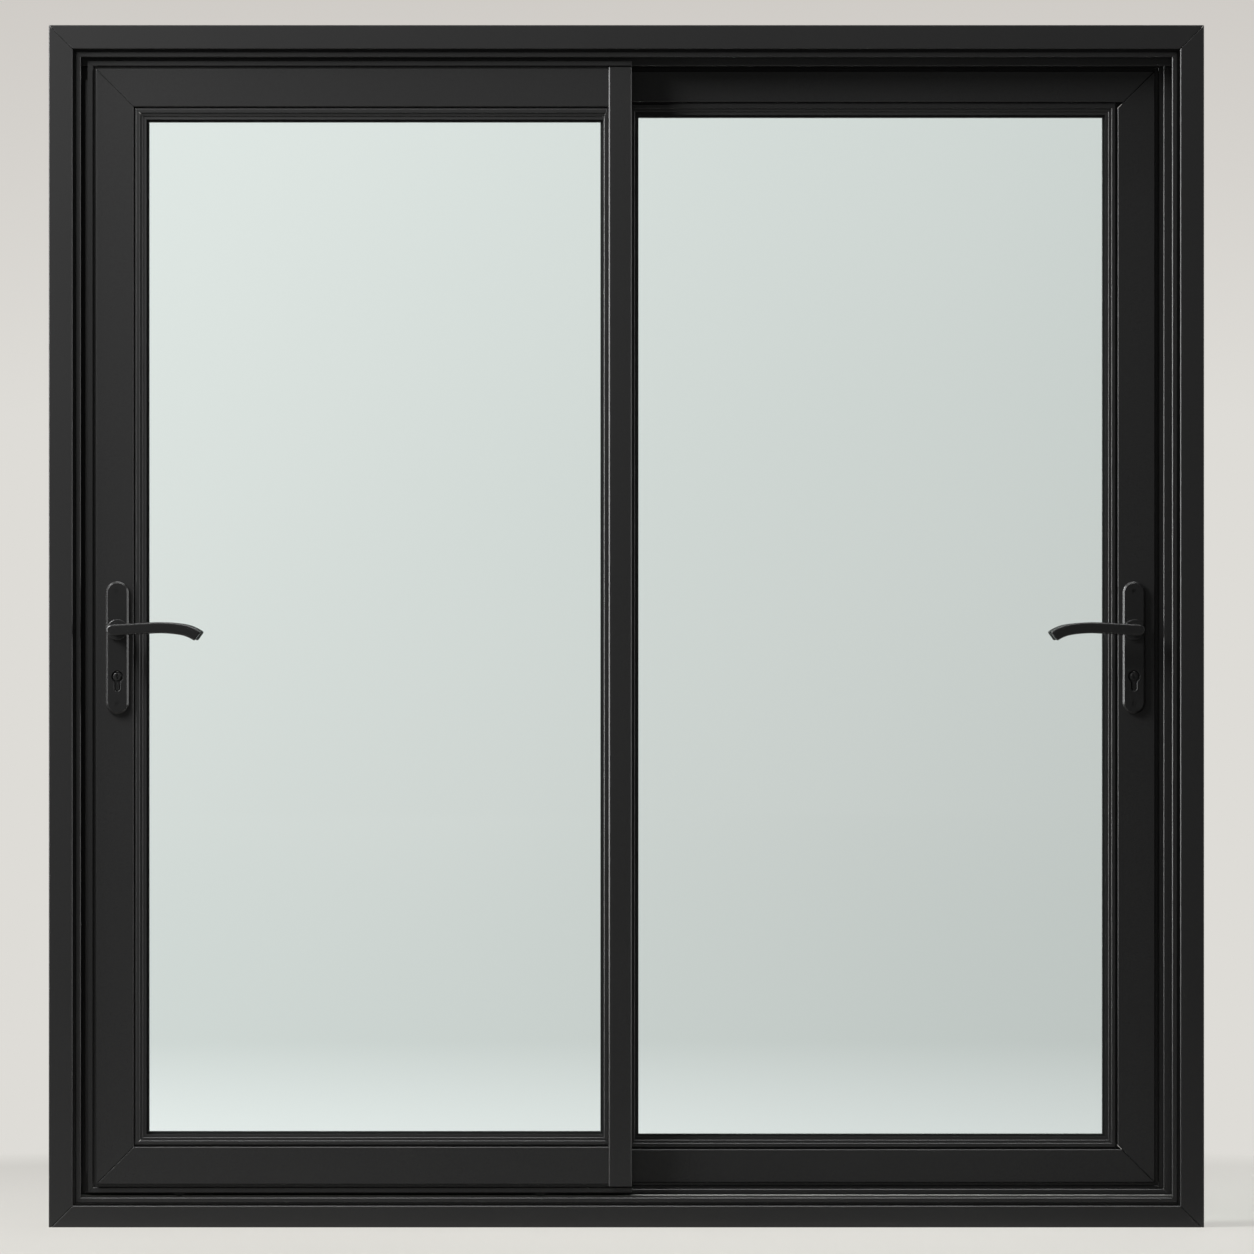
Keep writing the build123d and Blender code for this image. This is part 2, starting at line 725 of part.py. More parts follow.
def make_panel(name, width, top_face, bottom_face, proud, fin_place, fin_to_back, place):
    """All nodes of one door panel, placed in the frame by the given function."""
    lock_stile, interlock, top_rail, bottom_rail = make_sash(
        width, top_face, bottom_face, proud, fin_place, fin_to_back)
    through = (-cut_over, panel_thickness + cut_over)
    lock_stile -= through_hole(handle_from_edge, spindle_height, spindle_hole_radius, *through)
    lock_stile -= euro_profile(cylinder_fit, *through)
    faceplate, pocket = make_faceplate()
    lock_stile -= pocket
    panes, spacer, gaskets = make_glazing(width, top_face, bottom_face)
    wheels, carriages = make_rollers(width)
    plate = make_plate()
    lever = make_lever()
    cylinder, plug = make_cylinder()
    nodes = {
        "lock_stile": lock_stile,
        "interlock_stile": interlock,
        "top_rail": top_rail,
        "bottom_rail": cut_roller_pockets(bottom_rail, width),
        "glazing_beads": make_beads(width, top_face, bottom_face),
        "glazing_gaskets": gaskets,
        "glass_panes": panes,
        "glass_spacer": spacer,
        "rollers": wheels,
        "roller_carriages": carriages,
        "lock_faceplate": faceplate,
        "handle_plates": Compound([plate, mirrored_back(plate)]),
        "lock_cylinder": cylinder,
        "key_plug": plug,
        "outside_lever": lever,
        "inside_lever": mirrored_back(lever),
        "lever_spindle": make_spindle(),
    }
    for node, shape in nodes.items():
        save(place(shape), f"{name}_{node}")


def place_front(shape):
    return Pos(-panel_edge, front_panel_face, 0) * shape


def place_rear(shape):
    return Pos(panel_edge, rear_panel_face, 0) * mirror(shape, about=Plane.YZ)


make_frame()
make_tracks()
make_keep(-1, -track_centre, "left_lock_keep")
make_keep(1, track_centre, "right_lock_keep")
make_panel("front", front_panel_width, stile_face, stile_face,
           interlock_proud, front_fin_place, True, place_front)
make_panel("rear", rear_panel_width, rear_top_rail_face, rear_bottom_rail_face,
           0.0, rear_fin_place, False, place_rear)
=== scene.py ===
"""Looks, light and camera for the double sliding patio door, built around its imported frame. Metres."""

import json
import math

import bmesh
import bpy
from mathutils import Matrix, Vector


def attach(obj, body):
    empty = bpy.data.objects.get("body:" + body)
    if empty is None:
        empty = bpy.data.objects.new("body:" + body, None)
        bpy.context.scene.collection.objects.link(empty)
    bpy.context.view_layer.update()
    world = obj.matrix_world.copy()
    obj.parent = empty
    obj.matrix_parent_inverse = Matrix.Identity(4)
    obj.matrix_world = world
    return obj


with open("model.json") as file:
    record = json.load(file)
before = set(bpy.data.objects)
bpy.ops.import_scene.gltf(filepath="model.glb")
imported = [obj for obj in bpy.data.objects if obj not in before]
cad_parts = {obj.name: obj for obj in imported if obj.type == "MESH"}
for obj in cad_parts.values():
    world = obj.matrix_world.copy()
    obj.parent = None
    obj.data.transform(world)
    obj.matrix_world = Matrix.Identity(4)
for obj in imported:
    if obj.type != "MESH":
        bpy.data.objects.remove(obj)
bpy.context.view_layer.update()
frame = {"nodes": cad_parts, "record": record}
nodes = frame["nodes"]

MM = 0.001
WELD = 0.001 * MM
PLAIN_SHINE = 0.5


# Materials


def linear(code):
    """An sRGB hex colour as linear red, green, blue and alpha."""
    channels = [int(code[i:i + 2], 16) / 255 for i in (1, 3, 5)]
    return [c / 12.92 if c <= 0.04045 else ((c + 0.055) / 1.055) ** 2.4 for c in channels] + [1.0]


def add(tree, kind, inputs=None, **settings):
    """Add one node with its settings; an input is a value or the output that feeds it."""
    node = tree.nodes.new(kind)
    for name, value in settings.items():
        setattr(node, name, value)
    for name, value in (inputs or {}).items():
        if isinstance(value, bpy.types.NodeSocket):
            tree.links.new(value, node.inputs[name])
        else:
            node.inputs[name].default_value = value
    return node


def start_material(name):
    """An empty node material with its output and a coordinate source in metres."""
    material = bpy.data.materials.new(name)
    material.use_nodes = True
    tree = material.node_tree
    tree.nodes.clear()
    output = add(tree, "ShaderNodeOutputMaterial")
    place = add(tree, "ShaderNodeTexCoord").outputs["Object"]
    return material, tree, output, place


def per_metre(size_mm):
    """Texture scale whose features are about this many millimetres across."""
    return 1000 / size_mm


def powder_coat(name, low, high, roughness, peel_mm, peel_depth_mm, edge_mm):
    """Baked polyester powder on metal: even satin black, faint orange peel, edges softened by the coat."""
    cloud_mm = 400
    grit_mm = peel_mm / 3
    peel_strength = 0.35
    roughness_swing = 0.04
    material, tree, output, place = start_material(name)
    cloud = add(tree, "ShaderNodeTexNoise", {"Vector": place, "Scale": per_metre(cloud_mm), "Detail": 2.0})
    peel = add(tree, "ShaderNodeTexNoise", {"Vector": place, "Scale": per_metre(peel_mm), "Detail": 3.0})
    grit = add(tree, "ShaderNodeTexNoise", {"Vector": place, "Scale": per_metre(grit_mm), "Detail": 1.0})
    colour = add(tree, "ShaderNodeMixRGB", {
        "Fac": cloud.outputs["Fac"], "Color1": linear(low), "Color2": linear(high)})
    dullness = add(tree, "ShaderNodeMapRange", {
        "Value": grit.outputs["Fac"],
        "To Min": roughness - roughness_swing, "To Max": roughness + roughness_swing})
    soft_edge = add(tree, "ShaderNodeBevel", {"Radius": edge_mm * MM}, samples=4)
    relief = add(tree, "ShaderNodeBump", {
        "Height": peel.outputs["Fac"], "Strength": peel_strength, "Distance": peel_depth_mm * MM,
        "Normal": soft_edge.outputs["Normal"]})
    shader = add(tree, "ShaderNodeBsdfPrincipled", {
        "Base Color": colour.outputs["Color"], "Specular IOR Level": PLAIN_SHINE,
        "Roughness": dullness.outputs["Result"], "Normal": relief.outputs["Normal"]})
    tree.links.new(shader.outputs["BSDF"], output.inputs["Surface"])
    return material


def rolled_steel(name, low, high, roughness, line_length_mm, line_width_mm):
    """Rolled or brushed steel: lines along the length that draw the shine out, coarser than real to show."""
    line_depth_mm = 0.02
    line_strength = 0.2
    smoother, duller = 0.06, 0.08
    material, tree, output, place = start_material(name)
    across = per_metre(line_width_mm)
    along = add(tree, "ShaderNodeMapping", {
        "Vector": place, "Scale": (per_metre(line_length_mm), across, across)})
    lines = add(tree, "ShaderNodeTexNoise", {"Vector": along.outputs["Vector"], "Scale": 1.0, "Detail": 4.0})
    colour = add(tree, "ShaderNodeMixRGB", {
        "Fac": lines.outputs["Fac"], "Color1": linear(low), "Color2": linear(high)})
    dullness = add(tree, "ShaderNodeMapRange", {
        "Value": lines.outputs["Fac"], "To Min": roughness - smoother, "To Max": roughness + duller})
    relief = add(tree, "ShaderNodeBump", {
        "Height": lines.outputs["Fac"], "Strength": line_strength, "Distance": line_depth_mm * MM})
    shader = add(tree, "ShaderNodeBsdfPrincipled", {
        "Base Color": colour.outputs["Color"], "Metallic": 1.0,
        "Roughness": dullness.outputs["Result"], "Normal": relief.outputs["Normal"]})
    tree.links.new(shader.outputs["BSDF"], output.inputs["Surface"])
    return material


def moulded_polymer(name, low, high, roughness, grain_mm):
    """Moulded or extruded rubber and plastic: dull, with a fine even grain."""
    grain_depth_mm = 0.05
    grain_strength = 0.3
    roughness_swing = 0.05
    material, tree, output, place = start_material(name)
    grain = add(tree, "ShaderNodeTexNoise", {"Vector": place, "Scale": per_metre(grain_mm), "Detail": 2.0})
    colour = add(tree, "ShaderNodeMixRGB", {
        "Fac": grain.outputs["Fac"], "Color1": linear(low), "Color2": linear(high)})
    dullness = add(tree, "ShaderNodeMapRange", {
        "Value": grain.outputs["Fac"],
        "To Min": roughness - roughness_swing, "To Max": roughness + roughness_swing})
    relief = add(tree, "ShaderNodeBump", {
        "Height": grain.outputs["Fac"], "Strength": grain_strength, "Distance": grain_depth_mm * MM})
    shader = add(tree, "ShaderNodeBsdfPrincipled", {
        "Base Color": colour.outputs["Color"], "Specular IOR Level": PLAIN_SHINE,
        "Roughness": dullness.outputs["Result"], "Normal": relief.outputs["Normal"]})
    tree.links.new(shader.outputs["BSDF"], output.inputs["Surface"])
    return material


def float_glass():
    """Clear float glass: nearly neutral, flat and glossy, with light passing on through it to the floor."""
    cloud_mm = 900
    material, tree, output, place = start_material("clear_float_glass")
    cloud = add(tree, "ShaderNodeTexNoise", {"Vector": place, "Scale": per_metre(cloud_mm), "Detail": 1.0})
    colour = add(tree, "ShaderNodeMixRGB", {
        "Fac": cloud.outputs["Fac"], "Color1": linear("#fbfefd"), "Color2": linear("#fdfffe")})
    shader = add(tree, "ShaderNodeBsdfPrincipled", {
        "Base Color": colour.outputs["Color"], "Roughness": 0.0, "IOR": 1.52, "Transmission Weight": 1.0})
    clear = add(tree, "ShaderNodeBsdfTransparent", {"Color": linear("#f4f8f6")})
    path = add(tree, "ShaderNodeLightPath")
    mix = add(tree, "ShaderNodeMixShader", {
        0: path.outputs["Is Shadow Ray"], 1: shader.outputs["BSDF"], 2: clear.outputs["BSDF"]})
    tree.links.new(mix.outputs["Shader"], output.inputs["Surface"])
    return material


finishes = {
    # Extruded aluminium under powder: a satin black that greys softly where it faces the light
    "black_powder_coat": powder_coat(
        "satin_black_powder_coat", "#252525", "#282828",
        roughness=0.28, peel_mm=1.2, peel_depth_mm=0.02, edge_mm=0.7),
    # Die-cast zinc under a thinner coat: blacker and smoother, with bright lines on its edges
    "black_handle": powder_coat(
        "black_coated_zinc_alloy", "#1c1c1c", "#202020",
        roughness=0.25, peel_mm=0.8, peel_depth_mm=0.018, edge_mm=0.5),
    # Brushed strip and plate: mid grey, streaked along the track
    "stainless_steel": rolled_steel(
        "brushed_stainless_steel", "#8a8a88", "#a4a4a1",
        roughness=0.36, line_length_mm=83.0, line_width_mm=0.4),
    # Pressed and plated steel: a cooler grey with an even mottle
    "zinc_plated_steel": rolled_steel(
        "zinc_plated_steel", "#8e9093", "#a6a7a6", roughness=0.42, line_length_mm=3.3, line_width_mm=3.3),
    "clear_glass": float_glass(),
    # Extruded rubber: near black and dull, so that it reads as a shadow line
    "black_rubber": moulded_polymer(
        "extruded_rubber_gasket", "#101010", "#171717", roughness=0.7, grain_mm=0.8),
    # Foamed spacer between the panes: black, a little smoother than the rubber
    "black_spacer": moulded_polymer(
        "black_warm_edge_spacer", "#0e0f0f", "#151616", roughness=0.6, grain_mm=1.5),
    # Moulded wheels: dark grey with a slight shine
    "nylon_wheel": moulded_polymer(
        "black_moulded_nylon", "#1a1a19", "#212120", roughness=0.5, grain_mm=1.0),
}

for part in frame["record"]["subparts"]:
    finish = finishes[part["material_slot"]]
    for slot in nodes[part["node"]].material_slots:
        slot.material = finish


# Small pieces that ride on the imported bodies

# Each panel's side of the door, and the depth of its front face
PANELS = {"front": (-1, -47.0 * MM), "rear": (1, 7.0 * MM)}
PANEL_EDGE = 942.2 * MM
PANEL_THICKNESS = 40.0 * MM
PANEL_BOTTOM, PANEL_TOP = 59.0 * MM, 2039.0 * MM
FRAME_HALF_WIDTH, FRAME_HEIGHT = 1009.0 * MM, 2100.0 * MM
TRACK_FLOOR = 36.0 * MM
SILL_TRIM = 4.0 * MM

SEALANT_THICKNESS = 0.44 * MM
# Strips of sealant for the steps of a section: inward start, inward end, y low and y high in millimetres
FRAME_FRONT_STRIPS = [
    (4.8, 35.4, -57.0, -1.4), (35.4, 40.9, -57.0, -39.6),
    (40.9, 46.6, -42.4, -39.6), (46.6, 54.8, -49.0, -39.6)]
FRAME_MIDDLE_STRIPS = [(4.8, 67.4, -1.4, 1.4)]
# On a sash, y counts from its front face
SASH_STRIPS = [
    (0.6, 9.4, 7.5, 11.4), (0.6, 9.4, 28.6, 32.5), (9.4, 16.1, 10.6, 11.4), (9.4, 16.1, 28.6, 29.4),
    (16.1, 18.8, 3.0, 11.4), (16.1, 18.8, 28.6, 37.0), (18.8, 72.4, 3.0, 37.0)]
WIDER_FRONT_SASH_STRIPS = [(72.4, 80.4, 3.0, 37.0), (80.4, 88.4, 21.6, 37.0)]

SPINDLE_HEIGHT = 1044.0 * MM
HANDLE_FROM_EDGE = 52.6 * MM
PLATE_THICKNESS = 8.0 * MM
PLATE_SCREW_SINK = 1.8 * MM
PLATE_SCREWS_FROM_SPINDLE = (67.0 * MM, -130.0 * MM)
LOCK_MIDDLE = SPINDLE_HEIGHT - 31.5 * MM
FACEPLATE_SCREW_SINK = 0.4 * MM
FACEPLATE_SCREW_STEPS = (-110.0 * MM, 110.0 * MM)
KEEP_SCREW_RISE = 3.1 * MM
KEEP_SCREW_STEPS = (-108.0 * MM, 0.0, 108.0 * MM)
LEVER_NECK_OUT = 28.0 * MM
LEVER_NECK_LOW = SPINDLE_HEIGHT - 9.7 * MM

SEAL_HALF_WIDTH = 2.0 * MM
SEAL_REACH = 5.0 * MM
SEAL_INSET = 9.3 * MM
SEAL_END = 34.0 * MM


def place_piece(shape, name, body, slot):
    """Turn a finished bmesh into one named piece on a body, with its slot's finish."""
    bmesh.ops.remove_doubles(shape, verts=shape.verts, dist=WELD)
    bmesh.ops.recalc_face_normals(shape, faces=shape.faces)
    mesh = bpy.data.meshes.new(name)
    shape.to_mesh(mesh)
    shape.free()
    mesh.materials.append(finishes[slot])
    piece = bpy.data.objects.new(name, mesh)
    bpy.context.scene.collection.objects.link(piece)
    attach(piece, body)
    return piece


def add_block(shape, low, high, turn=None):
    """A box between two corners, turned about its own middle if asked."""
    middle = (Vector(low) + Vector(high)) / 2
    size = Vector(high) - Vector(low)
    matrix = Matrix.Translation(middle) @ (turn or Matrix.Identity(4)) @ Matrix.Diagonal((*size, 1.0))
    return bmesh.ops.create_cube(shape, size=1.0, matrix=matrix)["verts"]


def repeat(template, matrices):
    """One bmesh with a copy of the template mesh at each place."""
    shape = bmesh.new()
    for matrix in matrices:
        before = len(shape.verts)
        shape.from_mesh(template)
        shape.verts.ensure_lookup_table()
        bmesh.ops.transform(shape, matrix=matrix, verts=shape.verts[before:])
    return shape


def screw_template(head_radius, head_height, socket_radius, socket_depth):
    """A round head with a softened rim and a six-sided socket, standing on the origin along +Z."""
    rim = head_height * 0.35
    rim_cut = rim * 0.3
    flat_radius = socket_radius * 1.25
    sides = 24
    socket_sides = 6
    profile = [
        (0.0, 0.0), (head_radius, 0.0), (head_radius, head_height - rim),
        (head_radius - rim_cut, head_height - rim_cut), (head_radius - rim, head_height),
        (flat_radius, head_height)]
    shape = bmesh.new()
    line = [shape.verts.new((radius, 0.0, height)) for radius, height in profile]
    edges = [shape.edges.new(pair) for pair in zip(line, line[1:])]
    bmesh.ops.spin(shape, geom=line + edges, cent=(0, 0, 0), axis=(0, 0, 1), dvec=(0, 0, 0),
                   angle=math.tau, steps=sides, use_merge=True)
    bmesh.ops.remove_doubles(shape, verts=shape.verts, dist=WELD)
    top_edge = [e for e in shape.edges if e.is_boundary]
    mouth = bmesh.ops.create_circle(shape, cap_ends=False, radius=socket_radius, segments=socket_sides,
                                    matrix=Matrix.Translation((0, 0, head_height)))["verts"]
    hexagon = list({e for v in mouth for e in v.link_edges})
    bmesh.ops.bridge_loops(shape, edges=top_edge + hexagon)
    wall = bmesh.ops.extrude_edge_only(shape, edges=hexagon)["geom"]
    low = [g for g in wall if isinstance(g, bmesh.types.BMVert)]
    bmesh.ops.translate(shape, verts=low, vec=(0, 0, -socket_depth))
    floor_edges = [g for g in wall if isinstance(g, bmesh.types.BMEdge) and all(v in low for v in g.verts)]
    bmesh.ops.holes_fill(shape, edges=floor_edges, sides=socket_sides)
    bmesh.ops.recalc_face_normals(shape, faces=shape.faces)
    mesh = bpy.data.meshes.new("screw_template")
    shape.to_mesh(mesh)
    shape.free()
    return mesh


def looking(direction, place):
    """Matrix that stands a +Z template at a place, looking along a direction."""
    return Matrix.Translation(place) @ Vector(direction).to_track_quat("Z", "Y").to_matrix().to_4x4()


def fill_mitres(name, body, corners, strips):
    """Thin sealant inside the hairline mitres, along the diagonal of each corner."""
    shape = bmesh.new()
    thin = SEALANT_THICKNESS / 2
    for x, z, inward_x, inward_z in corners:
        turn = Matrix.Rotation(-math.atan2(inward_z, inward_x), 4, "Y")
        for start, end, y_low, y_high in strips:
            middle = (start + end) / 2 * MM
            half = (end - start) / 2 * math.sqrt(2) * MM
            centre_x = x + inward_x * middle
            centre_z = z + inward_z * middle
            add_block(shape, (centre_x - half, y_low * MM, centre_z - thin),
                      (centre_x + half, y_high * MM, centre_z + thin), turn)
    place_piece(shape, name, body, "black_rubber")


def make_mitre_sealant():
    """Black small-joint sealant that closes the mitres of the frame and of both sashes."""
    corners = [(side * FRAME_HALF_WIDTH, height, -side, way) for side in (-1, 1)
               for height, way in ((-SILL_TRIM, 1), (FRAME_HEIGHT, -1))]
    back = [(start, end, -high, -low) for start, end, low, high in FRAME_FRONT_STRIPS]
    fill_mitres("frame_mitre_sealant", "frame", corners, FRAME_FRONT_STRIPS + FRAME_MIDDLE_STRIPS + back)
    for panel, (side, face) in PANELS.items():
        corners = [(side * PANEL_EDGE, height, -side, way)
                   for height, way in ((PANEL_BOTTOM, 1), (PANEL_TOP, -1))]
        strips = SASH_STRIPS + (WIDER_FRONT_SASH_STRIPS if panel == "front" else [])
        face_mm = face / MM
        placed = [(start, end, face_mm + low, face_mm + high) for start, end, low, high in strips]
        fill_mitres(f"{panel}_mitre_sealant", f"{panel}_panel", corners, placed)


def make_fasteners():
    """Screws of the handle plates, face plates and keeps, and the grub screw under each lever."""
    plate_screw = screw_template(
        head_radius=3.3 * MM, head_height=1.3 * MM, socket_radius=1.3 * MM, socket_depth=1.0 * MM)
    edge_screw = screw_template(
        head_radius=3.4 * MM, head_height=0.9 * MM, socket_radius=1.4 * MM, socket_depth=0.6 * MM)
    grub_screw = screw_template(
        head_radius=2.6 * MM, head_height=0.8 * MM, socket_radius=1.4 * MM, socket_depth=0.7 * MM)
    for panel, (side, face) in PANELS.items():
        back = face + PANEL_THICKNESS
        middle = face + PANEL_THICKNESS / 2
        handle = side * (PANEL_EDGE - HANDLE_FROM_EDGE)

        plate_faces = (((0, -1, 0), face - PLATE_THICKNESS + PLATE_SCREW_SINK),
                       ((0, 1, 0), back + PLATE_THICKNESS - PLATE_SCREW_SINK))
        places = [looking(way, (handle, y, SPINDLE_HEIGHT + step))
                  for way, y in plate_faces for step in PLATE_SCREWS_FROM_SPINDLE]
        screws = repeat(plate_screw, places)
        place_piece(screws, f"{panel}_plate_screws", f"{panel}_panel", "black_handle")

        edge = side * (PANEL_EDGE - FACEPLATE_SCREW_SINK)
        places = [looking((side, 0, 0), (edge, middle, LOCK_MIDDLE + step))
                  for step in FACEPLATE_SCREW_STEPS]
        screws = repeat(edge_screw, places)
        place_piece(screws, f"{panel}_faceplate_screws", f"{panel}_panel", "stainless_steel")

        keep_face = side * (FRAME_HALF_WIDTH - TRACK_FLOOR - KEEP_SCREW_RISE)
        places = [looking((-side, 0, 0), (keep_face, middle, LOCK_MIDDLE + step))
                  for step in KEEP_SCREW_STEPS]
        screws = repeat(edge_screw, places)
        jamb = "left" if side < 0 else "right"
        place_piece(screws, f"{jamb}_keep_screws", "frame", "stainless_steel")

        places = [looking((0, 0, -1), (handle, y, LEVER_NECK_LOW))
                  for y in (face - LEVER_NECK_OUT, back + LEVER_NECK_OUT)]
        screws = repeat(grub_screw, places)
        place_piece(screws, f"{panel}_lever_grub_screws", f"{panel}_lever_set", "black_handle")


def make_edge_seals():
    """Rubber bulbs along the closing edge of each panel, on both sides of the face plate."""
    rounding = SEAL_HALF_WIDTH * 0.95
    for panel, (side, face) in PANELS.items():
        root = side * PANEL_EDGE
        tip = side * (PANEL_EDGE + SEAL_REACH)
        shape = bmesh.new()
        for y in (face + SEAL_INSET, face + PANEL_THICKNESS - SEAL_INSET):
            low = (min(root, tip), y - SEAL_HALF_WIDTH, PANEL_BOTTOM + SEAL_END)
            high = (max(root, tip), y + SEAL_HALF_WIDTH, PANEL_TOP - SEAL_END)
            corners = add_block(shape, low, high)
            outer = [v for v in corners if abs(v.co.x - tip) < WELD]
            upright = [e for e in shape.edges if all(v in outer for v in e.verts)
                       and abs(e.verts[0].co.z - e.verts[1].co.z) > SEAL_REACH]
            bmesh.ops.bevel(shape, geom=upright, offset=rounding, offset_type="OFFSET", affect="EDGES",
                            segments=5, profile=0.5, material=-1)
        place_piece(shape, f"{panel}_edge_seals", f"{panel}_panel", "black_rubber")


make_mitre_sealant()
make_fasteners()
make_edge_seals()


# Floor, world, lamps and camera

WALL = "#dedcd7"
WALL_TOP = "#cecac5"
ROOM = "#565655"
BEYOND_LOW = "#dadddb"
BEYOND_TOP = "#e6eae8"
FLOOR_BEYOND_NEAR = "#eaedec"
FLOOR_BEYOND_FAR = "#d5d9d7"
# Floor paint where it is seen: painted shade on the left, where the lamps light it most, and painted light on
# the right, over the door's shadow
FLOOR_SEEN_LEFT_PAINTED_SHADE = "#a19f9a"
FLOOR_SEEN_RIGHT_PAINTED_LIGHT = "#c0beb9"
FLOOR_BOUNCE = "#7a7977"
FLOOR_EVENNESS = 0.68
WORLD_LIGHT = 0.10

# Seen through the glass, the shade falls from left to right over this slope of sight
SHADE_HALF_SLOPE = 0.055
LEFT_LEVEL, RIGHT_LEVEL = 1.05, 0.825

# Spans of the world's directions, as parts of a unit vector
WALL_RISE = (0.02, 0.065)
BEYOND_RISE = (-0.018, 0.05)
ROOM_TURN = (0.25, -0.25)

# Spans of the floor in metres: from the door's middle, or along Y for a front and along X across
FLOOR_RADIUS = 40.0
FLOOR_FADE = (1.3, 2.8)
BEYOND_FADE = (3.6, 8.2)
HAZE_FADE = (8.0, 38.0)
ROOM_FRONT = (-1.0, -2.5)
POLISH_FRONT = (-0.22, -0.1)
PAINTED_SHADE_ACROSS = (-0.55, 1.0)
# The shade through the glass fans out from this far in front
FAN_START = 18.3


def dim_to_right(tree, colour, slope):
    """A colour seen through the glass, dimmed evenly from left to right by a sideways slope."""
    fall = add(tree, "ShaderNodeMapRange", {
        "Value": slope, "From Min": -SHADE_HALF_SLOPE, "From Max": SHADE_HALF_SLOPE,
        "To Min": LEFT_LEVEL, "To Max": RIGHT_LEVEL})
    dimmed = add(tree, "ShaderNodeVectorMath", {
        0: colour, "Scale": fall.outputs["Result"]}, operation="SCALE")
    return dimmed.outputs["Vector"]


def make_world():
    """Pale wall all round for the camera, shine and glass, and a dimmer even light on the door."""
    world = bpy.data.worlds.new("studio")
    bpy.context.scene.world = world
    world.use_nodes = True
    tree = world.node_tree
    tree.nodes.clear()
    output = add(tree, "ShaderNodeOutputWorld")
    path = add(tree, "ShaderNodeLightPath")
    way = add(tree, "ShaderNodeTexCoord")
    split = add(tree, "ShaderNodeSeparateXYZ", {"Vector": way.outputs["Generated"]})

    # The wall darkens upwards, and shine from in front of the door sees a dim room
    rise = add(tree, "ShaderNodeMapRange", {
        "Value": split.outputs["Z"], "From Min": WALL_RISE[0], "From Max": WALL_RISE[1]})
    front = add(tree, "ShaderNodeMapRange", {
        "Value": split.outputs["Y"], "From Min": ROOM_TURN[0], "From Max": ROOM_TURN[1]})
    dim = add(tree, "ShaderNodeMath", {
        0: front.outputs["Result"], 1: path.outputs["Is Glossy Ray"]}, operation="MULTIPLY")
    upright = add(tree, "ShaderNodeMixRGB", {
        "Fac": rise.outputs["Result"], "Color1": linear(WALL), "Color2": linear(WALL_TOP)})
    wall_colour = add(tree, "ShaderNodeMixRGB", {
        "Fac": dim.outputs["Value"], "Color1": upright.outputs["Color"], "Color2": linear(ROOM)})
    wall = add(tree, "ShaderNodeBackground", {"Color": wall_colour.outputs["Color"], "Strength": 1.0})

    # Through the glass
    climb = add(tree, "ShaderNodeMapRange", {
        "Value": split.outputs["Z"], "From Min": BEYOND_RISE[0], "From Max": BEYOND_RISE[1]})
    distant = add(tree, "ShaderNodeMixRGB", {
        "Fac": climb.outputs["Result"], "Color1": linear(BEYOND_LOW), "Color2": linear(BEYOND_TOP)})
    shaded = dim_to_right(tree, distant.outputs["Color"], split.outputs["X"])
    beyond = add(tree, "ShaderNodeBackground", {"Color": shaded, "Strength": 1.0})

    light = add(tree, "ShaderNodeBackground", {"Color": linear("#ffffff"), "Strength": WORLD_LIGHT})
    seen = add(tree, "ShaderNodeMath", {
        0: path.outputs["Is Camera Ray"], 1: path.outputs["Is Glossy Ray"]}, operation="MAXIMUM")
    plain = add(tree, "ShaderNodeMixShader", {
        0: seen.outputs["Value"], 1: light.outputs["Background"], 2: wall.outputs["Background"]})
    mix = add(tree, "ShaderNodeMixShader", {
        0: path.outputs["Is Transmission Ray"], 1: plain.outputs["Shader"], 2: beyond.outputs["Background"]})
    tree.links.new(mix.outputs["Shader"], output.inputs["Surface"])


